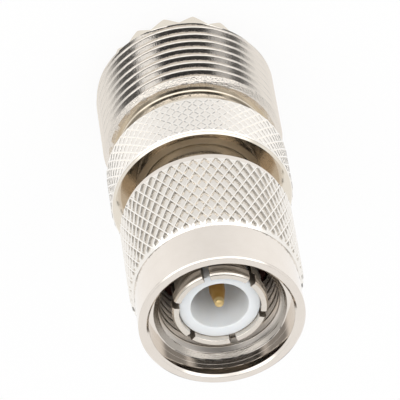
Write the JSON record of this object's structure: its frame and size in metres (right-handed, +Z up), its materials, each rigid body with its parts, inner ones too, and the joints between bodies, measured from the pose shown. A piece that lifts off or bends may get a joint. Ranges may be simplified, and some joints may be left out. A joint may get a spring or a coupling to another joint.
{
  "type": "coax adapter",
  "caption": "Straight coaxial adapter with a slotted threaded plug and captive knurled coupling nut at one end and a threaded socket with a serrated rim at the other.",
  "frame": {"origin": "on the axis, at the level of the serrated rim's tooth tips, on which the adapter stands", "axes": "+Z up along the axis from the socket end to the plug end; +X is a plain radial direction"},
  "size_m": [0.016, 0.016, 0.0333],
  "materials": {
    "nickel_plate": "satin nickel plate on brass",
    "ptfe": "white fluoropolymer, waxy",
    "gold_plate": "gold plate on brass",
    "silicone": "dark maroon silicone",
    "spring_steel": "plain spring steel"
  },
  "bodies": {
    "adapter_body": {"socket_body": "nickel_plate", "socket_insulator": "ptfe", "socket_contact": "gold_plate", "plug_shell": "nickel_plate", "plug_dielectric": "ptfe", "center_pin": "gold_plate", "gasket": "silicone"},
    "nut_ring": {"retaining_ring": "spring_steel"},
    "nut": {"coupling_nut": "nickel_plate"}
  },
  "joints": [
    {"name": "nut_float", "type": "slide", "parent": "adapter_body", "child": "nut_ring", "axis": [0, 0, 1], "range_m": [0, 0.0006]},
    {"name": "nut_spin", "type": "hinge", "parent": "nut_ring", "child": "nut", "pos_m": [0, 0, 0.0216], "axis": [0, 0, 1], "continuous": true}
  ]
}
